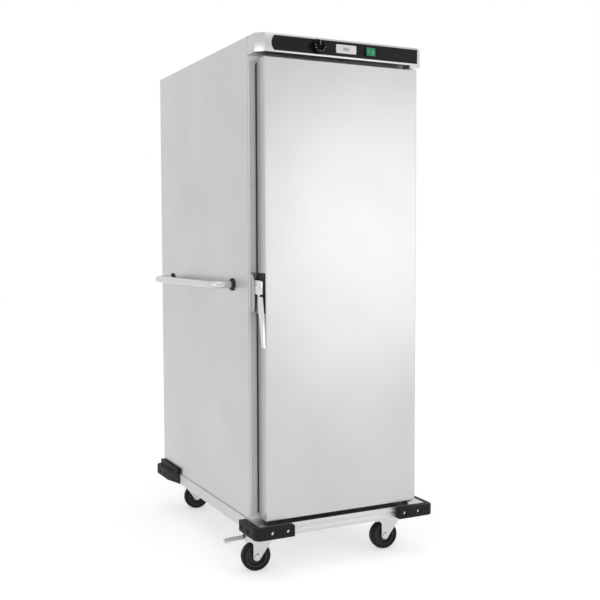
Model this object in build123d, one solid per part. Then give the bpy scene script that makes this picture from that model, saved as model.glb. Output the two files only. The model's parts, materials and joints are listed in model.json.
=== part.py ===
from build123d import *
import math
import os

# Heated banquet cart on four casters, door at the front (-Y), floor at z = 0. All sizes in mm.

# Casters
wheel_diameter = 100.0
tread_width = 30.0
tyre_thickness = 12.0
axle_diameter = 10.0
wheel_trail = 40.0
wheel_side_gap = 3.0
fork_sheet = 3.0
fork_end_radius = 13.0
crown_height = 124.2
crown_thickness = 5.0
race_radius = 27.0
kingpin_diameter = 12.0
caster_plate_x = 100.0
caster_plate_y = 85.0
caster_plate_sheet = 4.0
caster_bolt_x = 80.0
caster_bolt_y = 62.0
caster_from_side = 68.0
caster_from_end = 94.0
pedal_reach = 72.0
pedal_sheet = 3.0
front_caster_turn = -8.0
rear_left_turn = 172.0
rear_right_turn = 205.0

# Chassis and bumpers
chassis_bottom = 137.0
chassis_height = 38.0
deck_side_step = 4.5
deck_front_step = 91.0
deck_rear_step = 2.0
rail_sheet = 3.0
rail_flange = 40.0
cross_member_width = 130.0
deck_sheet = 1.5
bumper_thickness = 25.0
bumper_leg = 140.0
bumper_ramp = 97.0
bumper_corner_radius = 24.0
bumper_lip_height = 20.0
bumper_lip_thickness = 8.0
bumper_bolt_first = 62.0
bumper_bolt_pitch = 56.0
bumper_bolt_diameter = 6.0
bumper_recess_depth = 12.0

# Body shell
body_width = 627.0
body_depth = 891.0
sheet = 1.2
return_flange = 15.0
rim_width = 8.0
rim_height = 3.0
frame_depth = 12.0
opening_from_side = 45.5
opening_bottom = 30.5
opening_top_drop = 20.0
liner_step = 2.0
liner_sheet = 1.0
back_wall = 33.8

# Door
door_side_step = 26.0
door_height = 1500.0
door_thickness = 60.0
door_under_gap = 10.5
door_edge_radius = 3.0
gasket_inset = 3.5
gasket_width = 12.0
gasket_depth = 22.7
gasket_corner = 15.0
plug_inset = 32.0
plug_height = 8.0
hinge_from_edge = 9.0
hinge_from_front = 29.0
hinge_pin_diameter = 10.0
hinge_pin_length = 27.0
hinge_bush_radius = 7.5
hinge_plate = 6.0
hinge_plate_width = 33.0
hinge_plate_depth = 52.0

# Head with the controls
head_gap = 14.0
head_height = 59.0
head_overhang = 85.0
head_facet = 26.0
panel_sheet = 2.0
panel_left_margin = 48.5
panel_right_margin = 29.5
panel_margin = 6.0
knob_x = -103.0
knob_diameter = 48.0
knob_depth = 23.0
knob_shaft_diameter = 6.0
display_x = 3.5
display_width = 76.0
display_height = 28.0
window_width = 28.0
window_height = 10.0
switch_x = 96.0
switch_width = 41.0
switch_height = 32.0
switch_body_margin = 1.0
rocker_width = 35.0
rocker_height = 26.0
rocker_tilt = 7.0

# Latch
latch_from_deck = 776.0
latch_plate_height = 130.0
latch_plate_rise = 23.5
latch_plate_sheet = 3.0
latch_box_height = 45.0
latch_box_width = 15.5
latch_box_depth = 36.0
latch_box_back = 15.0
latch_wall = 1.5
lever_width = 11.8
lever_sheet = 5.0
lever_length = 190.0
lever_lean = 15.0
lever_skirt = 20.0
lever_pin_diameter = 5.0
lever_pin_rise = 18.0
hook_reach = 5.0
hook_thickness = 4.0
strike_depth = 35.0
strike_wall = 1.5
strike_lip = 5.0
nose_height = 8.5

# Push handles
handle_tube = 25.0
handle_wall = 1.5
handle_standoff = 72.0
handle_spacing = 620.0
handle_height = 955.0
handle_centre_y = 46.0
handle_bend = 45.0
flange_radius = 21.5
flange_thickness = 6.0

# Racks, air system and water tray
rack_strip = 1.5
rack_strip_width = 30.0
rack_front_inset = 41.0
rack_spacing = 620.0
runner_first = 153.5
runner_pitch = 120.0
runner_head_room = 110.0
runner_leg = 20.0
runner_height = 20.0
runner_sheet = 1.3
runner_overhang = 15.0
duct_depth = 129.0
baffle_sheet = 1.2
baffle_side_gap = 8.0
baffle_end_gap = 33.0
fan_drop = 420.0
fan_radius = 88.0
fan_width = 38.0
blade_count = 9
blade_sheet = 1.5
motor_radius = 40.0
motor_length = 60.0
fan_shaft_diameter = 8.0
element_radius = 112.0
element_rod = 5.0
tray_width = 330.0
tray_depth = 240.0
tray_height = 42.0
tray_sheet = 1.0
tray_rim = 10.0
inlet_width = 50.0
inlet_height = 30.0
inlet_from_side = 113.5
vent_from_side = 153.5
vent_width = 100.0
vent_height = 2.5
vent_pitch = 6.0
vent_count = 6

# Clearances
fit = 0.05
seat = 0.3
bolt_gap = 0.3

# Places worked out from the sizes above
body_x = body_width / 2
chassis_x = body_x + deck_side_step
chassis_y = (body_depth + deck_front_step + deck_rear_step) / 2
chassis_top = chassis_bottom + chassis_height
deck_top = chassis_top + deck_sheet
caster_x = chassis_x - caster_from_side
caster_y = chassis_y - caster_from_end
wheel_radius = wheel_diameter / 2
body_back = chassis_y - deck_rear_step
body_front = body_back - body_depth
frame_plane = body_front + rim_height
frame_back = frame_plane + frame_depth
door_bottom = deck_top + door_under_gap
door_top = door_bottom + door_height
door_back = frame_plane - seat - gasket_depth
door_front = door_back - door_thickness
door_x = body_x - door_side_step
head_bottom = door_top + head_gap
body_top = head_bottom + head_height
head_front = body_front - head_overhang
control_z = (head_bottom + body_top) / 2
opening_x = body_x - opening_from_side
opening_z0 = deck_top + opening_bottom
opening_z1 = door_top - opening_top_drop
liner_x = opening_x + liner_step
liner_z0 = opening_z0 - liner_step
liner_z1 = opening_z1 + liner_step
liner_back = body_back - sheet - back_wall
runner_room = liner_z1 - liner_sheet - runner_head_room - deck_top - runner_first
runner_count = 1 + math.floor(runner_room / runner_pitch)
baffle_y = liner_back - liner_sheet - duct_depth
fan_z = opening_z1 - fan_drop
panel_left = -body_x + panel_left_margin
panel_right = body_x - panel_right_margin
inlet_x = -body_x + inlet_from_side
vent_x = body_x - vent_from_side
hinge_x = door_x - hinge_from_edge
hinge_y = door_front + hinge_from_front
latch_z = deck_top + latch_from_deck
latch_x = -door_x - latch_plate_sheet
rack_front = frame_back + rack_front_inset
rack_back = rack_front + rack_spacing
BASE = (Align.CENTER, Align.CENTER, Align.MIN)


def block(x0, x1, y0, y1, z0, z1):
    return Pos((x0 + x1) / 2, (y0 + y1) / 2, (z0 + z1) / 2) * Box(x1 - x0, y1 - y0, z1 - z0)


def rod_x(x, y, z, radius, length):
    return Pos(x, y, z) * Rot(0, 90, 0) * Cylinder(radius, length, align=BASE)


def rod_y(x, y, z, radius, length):
    return Pos(x, y, z) * Rot(-90, 0, 0) * Cylinder(radius, length, align=BASE)


def rod_z(x, y, z, radius, length):
    return Pos(x, y, z) * Cylinder(radius, length, align=BASE)


def hex_y(x, y, z, across_flats, length):
    nut = extrude(RegularPolygon(across_flats / 2, 6, major_radius=False), amount=length)
    return Pos(x, y, z) * Rot(-90, 0, 0) * nut


def prism(points, direction, length):
    outline = make_face(Polyline(*points, close=True))
    return extrude(outline, amount=length, dir=direction)


# Chassis

def base_frame():
    frame = block(-chassis_x, chassis_x, -chassis_y, chassis_y, chassis_bottom, chassis_top)
    inner_x = chassis_x - rail_sheet
    inner_y = chassis_y - rail_sheet
    web_z0 = chassis_bottom + rail_sheet
    web_z1 = chassis_top - rail_sheet
    frame -= block(-inner_x, inner_x, -inner_y, inner_y, web_z0, web_z1)
    bay_x = chassis_x - rail_flange
    bay_y = chassis_y - rail_flange
    frame -= block(-bay_x, bay_x, -bay_y, bay_y, chassis_bottom, chassis_top)
    half = cross_member_width / 2
    for y in (-caster_y, caster_y):
        frame += block(-inner_x, inner_x, y - half, y + half, chassis_bottom, web_z0)
        for edge in (y - half, y + half - rail_sheet):
            frame += block(-inner_x, inner_x, edge, edge + rail_sheet, web_z0, web_z1)
    for x, y in caster_places():
        for dx in (-caster_bolt_x / 2, caster_bolt_x / 2):
            for dy in (-caster_bolt_y / 2, caster_bolt_y / 2):
                frame -= rod_z(x + dx, y + dy, chassis_bottom - 1, 4.3, rail_sheet + 2)
    hole = bumper_bolt_diameter / 2 + bolt_gap
    for place, along_x in bumper_bolt_places():
        sx, sy, offset = place
        if along_x:
            x = sx * (chassis_x + bumper_thickness - offset)
            frame -= rod_y(x, sy * chassis_y - 5, bumper_z(), hole, 10)
        else:
            y = sy * (chassis_y + bumper_thickness - offset)
            frame -= rod_x(sx * chassis_x - 5, y, bumper_z(), hole, 10)
    return [frame]


def floor_panel():
    return [block(-chassis_x, chassis_x, -chassis_y, chassis_y, chassis_top, deck_top)]


def bumper_z():
    return chassis_bottom + chassis_height / 2


def bumper_bolt_places():
    """Corner signs and distance from the bumper's outer corner, on its end leg and its side leg."""
    offsets = (bumper_bolt_first, bumper_bolt_first + bumper_bolt_pitch)
    for sx in (-1, 1):
        for sy in (-1, 1):
            for offset in offsets:
                yield (sx, sy, offset), True
                yield (sx, sy, offset), False


def corner_plan(sx, sy, points, z, height):
    """A prism over points counted inwards from a bumper's outer corner."""
    corner_x = chassis_x + bumper_thickness
    corner_y = chassis_y + bumper_thickness
    plan = [(sx * (corner_x - a), sy * (corner_y - b), z) for a, b in points]
    return prism(plan, (0, 0, 1), height)


def corner_bumper(sx, sy):
    t = bumper_thickness
    leg = bumper_leg
    if sy < 0:
        plan = [(0, 0), (leg, 0), (leg, t), (t, t), (t, leg), (0, leg)]
    else:
        far = leg + bumper_ramp
        plan = [(0, 0), (leg, 0), (far, t), (t, t), (t, far), (0, leg)]
    bumper = corner_plan(sx, sy, plan, chassis_bottom, chassis_height)
    corner = (sx * (chassis_x + t), sy * (chassis_y + t), bumper_z())
    edge = bumper.edges().filter_by(Axis.Z).sort_by_distance(corner)[0]
    bumper = fillet(edge, bumper_corner_radius)
    rim = bumper.faces().filter_by(Axis.Z).edges().filter_by(Axis.Z, reverse=True)
    outer = [e for e in rim if abs(e.center().X) > chassis_x + t - 0.5 or abs(e.center().Y) > chassis_y + t - 0.5]
    bumper = chamfer(outer, 2.0)
    if sy > 0:
        s = t - bumper_lip_thickness
        end = leg + bumper_ramp - s
        lip = [(s, s), (end, s), (end, t), (t, t), (t, end), (s, end)]
        bumper += corner_plan(sx, sy, lip, chassis_top, bumper_lip_height)
    shank = bumper_bolt_diameter / 2 + bolt_gap
    for place, along_x in bumper_bolt_places():
        if place[:2] != (sx, sy):
            continue
        offset = place[2]
        for radius, depth in ((shank, t), (7.0, bumper_recess_depth)):
            if along_x:
                x = sx * (chassis_x + t - offset)
                y = sy * (chassis_y + t) - (depth if sy > 0 else 0)
                bumper -= rod_y(x, y, bumper_z(), radius, depth)
            else:
                x = sx * (chassis_x + t) - (depth if sx > 0 else 0)
                y = sy * (chassis_y + t - offset)
                bumper -= rod_x(x, y, bumper_z(), radius, depth)
    return bumper


def corner_bumpers():
    return [corner_bumper(sx, sy) for sx in (-1, 1) for sy in (-1, 1)]


def bumper_bolts():
    bolts = []
    head_depth = 6.0
    reach = bumper_thickness - bumper_recess_depth + rail_sheet + 3.0
    for place, along_x in bumper_bolt_places():
        sx, sy, offset = place
        head = extrude(RegularPolygon(5.0, 6, major_radius=False), amount=head_depth)
        shank = Cylinder(bumper_bolt_diameter / 2, reach, align=(Align.CENTER, Align.CENTER, Align.MAX))
        bolt = head + shank
        seat_at = bumper_thickness - bumper_recess_depth
        if along_x:
            x = sx * (chassis_x + bumper_thickness - offset)
            bolts.append(Pos(x, sy * (chassis_y + seat_at), bumper_z()) * Rot(-90 * sy, 0, 0) * bolt)
        else:
            y = sy * (chassis_y + bumper_thickness - offset)
            bolts.append(Pos(sx * (chassis_x + seat_at), y, bumper_z()) * Rot(0, 90 * sx, 0) * bolt)
    return bolts


# Casters

def caster_places():
    return [(-caster_x, -caster_y), (caster_x, -caster_y), (-caster_x, caster_y), (caster_x, caster_y)]


def caster_plates():
    plates = []
    plate_bottom = chassis_bottom - caster_plate_sheet
    race_bottom = crown_height + seat
    for x, y in caster_places():
        half_x = caster_plate_x / 2
        half_y = caster_plate_y / 2
        plate = block(x - half_x, x + half_x, y - half_y, y + half_y, plate_bottom, chassis_bottom)
        plate = fillet(plate.edges().filter_by(Axis.Z), 8.0)
        for dx in (-caster_bolt_x / 2, caster_bolt_x / 2):
            for dy in (-caster_bolt_y / 2, caster_bolt_y / 2):
                plate -= rod_z(x + dx, y + dy, plate_bottom - 1, 4.3, caster_plate_sheet + 2)
        plate += rod_z(x, y, race_bottom, race_radius, plate_bottom - race_bottom)
        pin_bottom = crown_height - crown_thickness - 9.0
        plate += rod_z(x, y, pin_bottom, kingpin_diameter / 2, race_bottom - pin_bottom)
        nut = extrude(RegularPolygon(9.0, 6, major_radius=False), amount=7.0)
        plate += Pos(x, y, pin_bottom) * nut
        plates.append(plate)
    return plates


def fork_leg(y0):
    """One pressed side of the fork: horn over the wheel, leg tapering to the axle."""
    left = -wheel_trail - fork_end_radius
    horn = left - 31.0
    outline = [(left, y0, wheel_radius), (left, y0, crown_height - 30.0), (left - 8.0, y0, crown_height - 21.0),
               (horn + 4.0, y0, crown_height - 21.0), (horn, y0, crown_height - 12.0),
               (horn + 8.0, y0, crown_height), (28.0, y0, crown_height),
               (-wheel_trail + 11.5, y0, wheel_radius - 5.5), (-wheel_trail, y0, wheel_radius)]
    leg = prism(outline, (0, 1, 0), fork_sheet)
    leg += rod_y(-wheel_trail, y0, wheel_radius, fork_end_radius, fork_sheet)
    leg -= rod_y(-wheel_trail, y0 - 1, wheel_radius, axle_diameter / 2 + fit, fork_sheet + 2)
    leg -= rod_y(pedal_x(), y0 - 1, pedal_z(), 3.0 + fit, fork_sheet + 2)
    return leg


def pedal_x():
    return -wheel_trail - fork_end_radius - 22.0


def pedal_z():
    return crown_height - 12.0


def fork():
    inner = tread_width / 2 + wheel_side_gap
    outer = inner + fork_sheet
    body = fork_leg(-outer) + fork_leg(inner)
    crown_bottom = crown_height - crown_thickness
    body += block(-wheel_trail - fork_end_radius, 24.0, -outer, outer, crown_bottom, crown_height)
    body += rod_z(0, 0, crown_bottom, race_radius + 3.0, crown_thickness)
    body -= rod_z(0, 0, crown_bottom - 1, kingpin_diameter / 2 + fit, crown_thickness + 2)
    return body


def axle():
    outer = tread_width / 2 + wheel_side_gap + fork_sheet
    bolt = rod_y(-wheel_trail, -outer, wheel_radius, axle_diameter / 2, 2 * outer + 8.0)
    bolt += hex_y(-wheel_trail, -outer - 6.0, wheel_radius, 17.0, 6.0)
    bolt += hex_y(-wheel_trail, outer, wheel_radius, 17.0, 6.0)
    return bolt


def turned_about_axle(profile):
    """Revolve (radius, along-axle) points about the wheel's axle."""
    points = [(-wheel_trail + r, y, wheel_radius) for r, y in profile]
    face = make_face(Polyline(*points, close=True))
    return revolve(face, Axis((-wheel_trail, 0, wheel_radius), (0, 1, 0)), 360)


def wheel():
    bore = axle_diameter / 2 + fit
    hub = tread_width / 2 + wheel_side_gap - 0.5
    web = 7.0
    rim = tread_width / 2 - 2.5
    rim_r = wheel_radius - tyre_thickness
    right = [(bore, hub), (13.0, hub), (14.5, web), (rim_r - 11.0, web), (rim_r - 8.0, rim), (rim_r, rim)]
    left = [(r, -y) for r, y in reversed(right)]
    return turned_about_axle(right + left)


def tyre():
    rim_r = wheel_radius - tyre_thickness
    half = tread_width / 2
    crown = 4.0
    right = [(rim_r, half - 1.0), (rim_r + 2.5, half), (wheel_radius - crown, half), (wheel_radius - 0.8, half - crown),
             (wheel_radius, half - 9.0)]
    left = [(r, -y) for r, y in reversed(right)]
    return turned_about_axle(right + left)


def brake_pedal():
    """Pressed foot pedal on a pin through the fork's horns, toe turned down."""
    half = tread_width / 2 + wheel_side_gap - 0.6
    x = pedal_x()
    z = pedal_z()
    tip = x - pedal_reach
    side = [(x + 5.0, -half, z + 3.0), (x - 12.0, -half, z + 5.0), (tip + 10.0, -half, z + 1.0),
            (tip, -half, z - 5.0), (tip + 1.5, -half, z - 7.5), (tip + 10.0, -half, z + 1.0 - pedal_sheet),
            (x - 12.0, -half, z + 5.0 - pedal_sheet), (x + 4.0, -half, z - 3.0)]
    plate = prism(side, (0, 1, 0), 2 * half)
    plate = fillet(plate.edges().filter_by(Axis.Z, reverse=True).sort_by(Axis.X)[0:1], 1.0)
    pin = rod_y(x, -half - wheel_side_gap - 0.6, z, 3.0, 2 * (half + wheel_side_gap + 0.6))
    return plate + pin


def caster(turn, x, y, piece):
    return Pos(x, y, 0) * Rot(0, 0, turn) * piece


# Body shell

def face_frame():
    half = body_x - sheet
    top = body_top - sheet
    frame = block(-half, half, frame_plane, frame_back, deck_top, top)
    frame += block(-half, half, body_front, frame_plane, deck_top, head_bottom)
    inner = half - rim_width
    band_bottom = door_bottom + gasket_inset - 1.0
    band_top = door_top - gasket_inset + 1.0
    frame -= block(-inner, inner, body_front, frame_plane, band_bottom, band_top)
    frame -= block(-opening_x, opening_x, frame_plane, frame_back, opening_z0, opening_z1)
    return [frame]


def side_panel(side):
    inner = body_x - sheet
    x0, x1 = sorted((side * inner, side * body_x))
    f0, f1 = sorted((side * (inner - return_flange), side * inner))
    top = body_top - sheet
    y0 = frame_back
    panel = block(x0, x1, body_front, body_back, deck_top, top)
    panel += block(f0, f1, y0, body_back - sheet, deck_top, deck_top + sheet)
    panel += block(f0, f1, y0, body_back - sheet, top - sheet, top)
    for sy in (-1, 1):
        y = handle_centre_y + sy * handle_spacing / 2
        panel -= rod_x(side * body_x - 5, y, handle_height, 3.2, 10)
    return [panel]


def roof_panel():
    roof = block(-body_x, body_x, body_front, body_back, body_top - sheet, body_top)
    lip = block(-body_x + 20, body_x - 20, body_back - 2 * sheet, body_back - sheet,
                body_top - return_flange, body_top - sheet)
    return [roof + lip]


def back_panel():
    half = body_x - sheet
    panel = block(-half, half, body_back - sheet, body_back, deck_top, body_top - sheet)
    w = inlet_width / 2 - 8.0
    h = inlet_height / 2 - 4.0
    panel -= block(inlet_x - w - seat, inlet_x + w + seat, body_back - 5, body_back + 5,
                   control_z - h - seat, control_z + h + seat)
    for row in range(vent_count):
        z = control_z + (row - vent_count / 2) * vent_pitch + vent_pitch / 2
        panel -= block(vent_x - vent_width / 2, vent_x + vent_width / 2, body_back - 5, body_back + 5,
                       z - vent_height / 2, z + vent_height / 2)
    return [panel]


def power_inlet():
    """Flush mains inlet: flange, recessed socket and three blades. The lead is not part of it."""
    w = inlet_width / 2
    h = inlet_height / 2
    body_w = w - 8.0
    body_h = h - 4.0
    inlet = block(inlet_x - w, inlet_x + w, body_back, body_back + 3.0, control_z - h, control_z + h)
    inlet += block(inlet_x - body_w, inlet_x + body_w, body_back - 24.0, body_back, control_z - body_h, control_z + body_h)
    inlet -= block(inlet_x - body_w + 2, inlet_x + body_w - 2, body_back - 16.0, body_back + 3.0,
                   control_z - body_h + 2, control_z + body_h - 2)
    for dx, dz in ((-7.0, -2.0), (0.0, 2.5), (7.0, -2.0)):
        inlet += block(inlet_x + dx - 1, inlet_x + dx + 1, body_back - 16.0, body_back - 2.0,
                       control_z + dz - 2, control_z + dz + 2)
    return [inlet]


def cavity_liner():
    liner = block(-liner_x, liner_x, frame_back, liner_back, liner_z0, liner_z1)
    t = liner_sheet
    liner -= block(-liner_x + t, liner_x - t, frame_back, liner_back - t, liner_z0 + t, liner_z1 - t)
    return [liner]


def insulation():
    side = body_x - sheet
    back = body_back - sheet
    z0 = deck_top + sheet
    z1 = head_bottom
    return [
        block(-side, -liner_x, frame_back, back, z0, z1),
        block(liner_x, side, frame_back, back, z0, z1),
        block(-liner_x, liner_x, frame_back, back, liner_z1, z1),
        block(-liner_x, liner_x, frame_back, back, z0, liner_z0),
        block(-liner_x, liner_x, liner_back, back, liner_z0, liner_z1),
    ]


# Head and controls

def head_plan(inset, z, height):
    """Head outline in plan, open side at the body, with the two cut front corners."""
    x = body_x - inset
    y = head_front + inset
    facet = head_facet - inset * (2 - math.sqrt(2))
    points = [(-x, body_front, z), (-x, y + facet, z), (-x + facet, y, z),
              (x - facet, y, z), (x, y + facet, z), (x, body_front, z)]
    return prism(points, (0, 0, 1), height)


def head_housing():
    head = head_plan(0, head_bottom, head_height)
    head -= head_plan(sheet, head_bottom + sheet, head_height - 2 * sheet)
    depth = 3 * sheet
    y = head_front - sheet
    head -= rod_y(knob_x, y, control_z, knob_shaft_diameter / 2 + 1.0, depth)
    head -= panel_cutout(display_x, display_width - 10.0, display_height - 6.0, y, depth)
    m = 2 * switch_body_margin
    head -= panel_cutout(switch_x, switch_width - m, switch_height - m, y, depth)
    return [head]


def panel_cutout(x, width, height, y, depth):
    w = width / 2 + seat
    h = height / 2 + seat
    return block(x - w, x + w, y, y + depth, control_z - h, control_z + h)


def control_panel():
    z0 = head_bottom + panel_margin
    z1 = body_top - panel_margin
    y = head_front
    arc_x = panel_left + 9.0
    edge = ThreePointArc((arc_x, y, z0), (panel_left, y, control_z), (arc_x, y, z1))
    rest = Polyline((arc_x, y, z1), (panel_right, y, z1), (panel_right, y, z0), (arc_x, y, z0))
    plate = extrude(make_face([edge, rest]), amount=panel_sheet, dir=(0, -1, 0))
    depth = 3 * panel_sheet
    y -= 2 * panel_sheet
    plate -= rod_y(knob_x, y, control_z, knob_shaft_diameter / 2 + 1.0, depth)
    plate -= panel_cutout(display_x, display_width - 10.0, display_height - 6.0, y, depth)
    m = 2 * switch_body_margin
    plate -= panel_cutout(switch_x, switch_width - m, switch_height - m, y, depth)
    return [plate]


def thermostat_body():
    inside = head_front + sheet
    body = rod_y(knob_x, inside, control_z, 19.0, 28.0)
    shaft = knob_shaft_diameter / 2
    reach = panel_sheet + sheet + knob_depth - 4.0
    body += rod_y(knob_x, inside - reach, control_z, shaft, reach)
    return [body]


def thermostat_knob():
    """Skirted round knob with a slight draft, bored for the thermostat's shaft."""
    back = head_front - panel_sheet - 0.5
    front = back - knob_depth
    r = knob_diameter / 2
    bore = knob_shaft_diameter / 2 + fit
    stop = front + 3.5
    points = [(bore, back), (r, back), (r, back - 3.0), (r - 3.5, back - 5.0), (r - 5.0, front + 2.0),
              (r - 7.0, front), (0, front), (0, stop), (bore, stop)]
    face = make_face(Polyline(*[(knob_x + a, y, control_z) for a, y in points], close=True))
    knob = revolve(face, Axis((knob_x, 0, control_z), (0, 1, 0)), 360)
    ridge = block(knob_x - 1.2, knob_x + 1.2, front - 0.8, front, control_z + 4.0, control_z + r - 7.5)
    return [knob + ridge]


def temperature_display():
    front = head_front - panel_sheet
    w = display_width / 2
    h = display_height / 2
    bezel = block(display_x - w, display_x + w, front - 4.0, front, control_z - h, control_z + h)
    bezel = fillet(bezel.edges().filter_by(Axis.Y), 4.0)
    bezel += block(display_x - w + 5, display_x + w - 5, front, front + 40.0, control_z - h + 3, control_z + h - 3)
    ww = window_width / 2
    wh = window_height / 2
    hole = block(display_x - ww, display_x + ww, front - 4.0, front - 2.0, control_z - wh, control_z + wh)
    window = block(display_x - ww, display_x + ww, front - 2.8, front - 2.0, control_z - wh, control_z + wh)
    return [bezel - hole, window]


def switch_housing():
    front = head_front - panel_sheet
    w = switch_width / 2
    h = switch_height / 2
    body = block(switch_x - w, switch_x + w, front - 3.0, front, control_z - h, control_z + h)
    body = fillet(body.edges().filter_by(Axis.Y), 2.5)
    m = switch_body_margin
    body += block(switch_x - w + m, switch_x + w - m, front, front + 26.0, control_z - h + m, control_z + h - m)
    pw = rocker_width / 2 + 1.2
    ph = rocker_height / 2 + 0.4
    body -= block(switch_x - pw, switch_x + pw, front - 3.0, front + 14.0, control_z - ph, control_z + ph)
    body += rod_z(switch_x, front + 3.0, control_z - ph, 2.0, 2 * ph)
    return [body]


def switch_rocker():
    """Saddle-faced rocker on the switch's cross pin, resting on its left half."""
    y = head_front - panel_sheet + 3.0
    w = rocker_width / 2
    h = rocker_height / 2
    z = control_z - h
    face = y - 8.5
    top = ThreePointArc((switch_x - w, face, z), (switch_x, face + 1.8, z), (switch_x + w, face, z))
    under = Polyline((switch_x + w, face, z), (switch_x + w - 1.0, y - 1.0, z), (switch_x + 5.0, y + 4.0, z),
                     (switch_x - 5.0, y + 4.0, z), (switch_x - w + 1.0, y - 1.0, z), (switch_x - w, face, z))
    rocker = extrude(make_face([top, under]), amount=rocker_height, dir=(0, 0, 1))
    rocker -= rod_z(switch_x, y, z - 1, 2.0 + fit, rocker_height + 2)
    about_pin = Pos(switch_x, y, 0) * Rot(0, 0, rocker_tilt) * Pos(-switch_x, -y, 0)
    return [about_pin * rocker]


# Door

def door_skin():
    skin = block(-door_x, door_x, door_front, door_back, door_bottom, door_top)
    skin = fillet(skin.faces().sort_by(Axis.Y)[0].edges(), door_edge_radius)
    t = sheet
    skin -= block(-door_x + t, door_x - t, door_front + t, door_back, door_bottom + t, door_top - t)
    length = hinge_pin_length + 3.0
    for z in (door_bottom, door_top - length):
        skin += rod_z(hinge_x, hinge_y, z, hinge_bush_radius, length)
    for z in (door_bottom - 1, door_top - length):
        skin -= rod_z(hinge_x, hinge_y, z, hinge_pin_diameter / 2 + fit, length + 1)
    return [skin]


def door_liner():
    t = sheet
    x = door_x - t
    liner = block(-x, x, door_back - t, door_back, door_bottom + t, door_top - t)
    p = plug_inset
    liner += block(-door_x + p, door_x - p, door_back, door_back + plug_height, door_bottom + p, door_top - p)
    p += t
    liner -= block(-door_x + p, door_x - p, door_back - t, door_back + plug_height - t, door_bottom + p, door_top - p)
    return [liner]


def door_insulation():
    t = sheet
    x = door_x - t
    foam = block(-x, x, door_front + t, door_back - t, door_bottom + t, door_top - t)
    p = plug_inset + t
    foam += block(-door_x + p, door_x - p, door_back - t, door_back + plug_height - t, door_bottom + p, door_top - p)
    r = hinge_bush_radius + seat
    length = hinge_pin_length + 3.0 + seat
    for z0, z1 in ((door_bottom, door_bottom + length), (door_top - length, door_top)):
        foam -= block(hinge_x - r, door_x, hinge_y - r, hinge_y + r, z0, z1)
    return [foam]


def rounded_ring(inset, radius, y):
    w = 2 * (door_x - inset)
    h = door_height - 2 * inset
    middle = (door_bottom + door_top) / 2
    return Pos(0, y, middle) * Rot(90, 0, 0) * RectangleRounded(w, h, radius)


def door_gasket():
    outer = extrude(rounded_ring(gasket_inset, gasket_corner, door_back), amount=gasket_depth, dir=(0, 1, 0))
    inner_inset = gasket_inset + gasket_width
    inner = extrude(rounded_ring(inner_inset, gasket_corner - gasket_width + 2, door_back),
                    amount=gasket_depth, dir=(0, 1, 0))
    return [outer - inner]


def hinge_brackets():
    x0 = hinge_x - hinge_plate_width / 2
    x1 = hinge_x + hinge_plate_width / 2
    y0 = hinge_y - hinge_plate_depth / 2
    y1 = hinge_y + hinge_plate_depth / 2
    r = hinge_pin_diameter / 2
    lower = block(x0, x1, y0, y1, deck_top, deck_top + hinge_plate)
    lower = fillet(lower.edges().filter_by(Axis.Z), 6.0)
    lower += rod_z(hinge_x, hinge_y, deck_top + hinge_plate, r + 4.0, door_bottom - seat - deck_top - hinge_plate)
    lower += rod_z(hinge_x, hinge_y, deck_top + hinge_plate, r, door_under_gap - hinge_plate + hinge_pin_length)
    upper = block(x0, x1, y0, y1, head_bottom - hinge_plate, head_bottom)
    upper = fillet(upper.edges().filter_by(Axis.Z), 6.0)
    collar = head_bottom - hinge_plate - door_top - seat
    upper += rod_z(hinge_x, hinge_y, door_top + seat, r + 4.0, collar)
    upper += rod_z(hinge_x, hinge_y, door_top - hinge_pin_length, r, hinge_pin_length + collar)
    return [lower, upper]


# Latch on the door's free edge

def latch_plate_z():
    top = latch_z + latch_box_height / 2 + latch_plate_rise
    return top - latch_plate_height, top


def latch_backplate():
    z0, z1 = latch_plate_z()
    plate = block(latch_x, -door_x, door_front + 2.0, door_back - 2.0, z0, z1)
    plate = fillet(plate.edges().filter_by(Axis.X), 3.0)
    return [plate]


def latch_box():
    """Outer limits of the hood over the lever's pivot."""
    y1 = door_back - latch_box_back
    return latch_x - latch_box_width, latch_x, y1 - latch_box_depth, y1


def lever_pin():
    x0, x1, y0, y1 = latch_box()
    return y0 + 14.0, latch_z - latch_box_height / 2 + lever_pin_rise


def latch_housing():
    """Hood over the lever's pivot: two cheeks, a front, a rounded top and a cross pin."""
    x0, x1, y0, y1 = latch_box()
    z0 = latch_z - latch_box_height / 2
    z1 = latch_z + latch_box_height / 2
    hood = block(x0, x1, y0, y1, z0, z1)
    hood = fillet(hood.edges().filter_by(Axis.X).group_by(Axis.Z)[-1], 5.0)
    w = latch_wall
    hood -= block(x0 + w, x1 - w, y0 + w, y1, z0, z1 - w)
    y, z = lever_pin()
    hood += rod_x(x0 + w, y, z, lever_pin_diameter / 2, x1 - x0 - 2 * w)
    return [hood]


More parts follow.
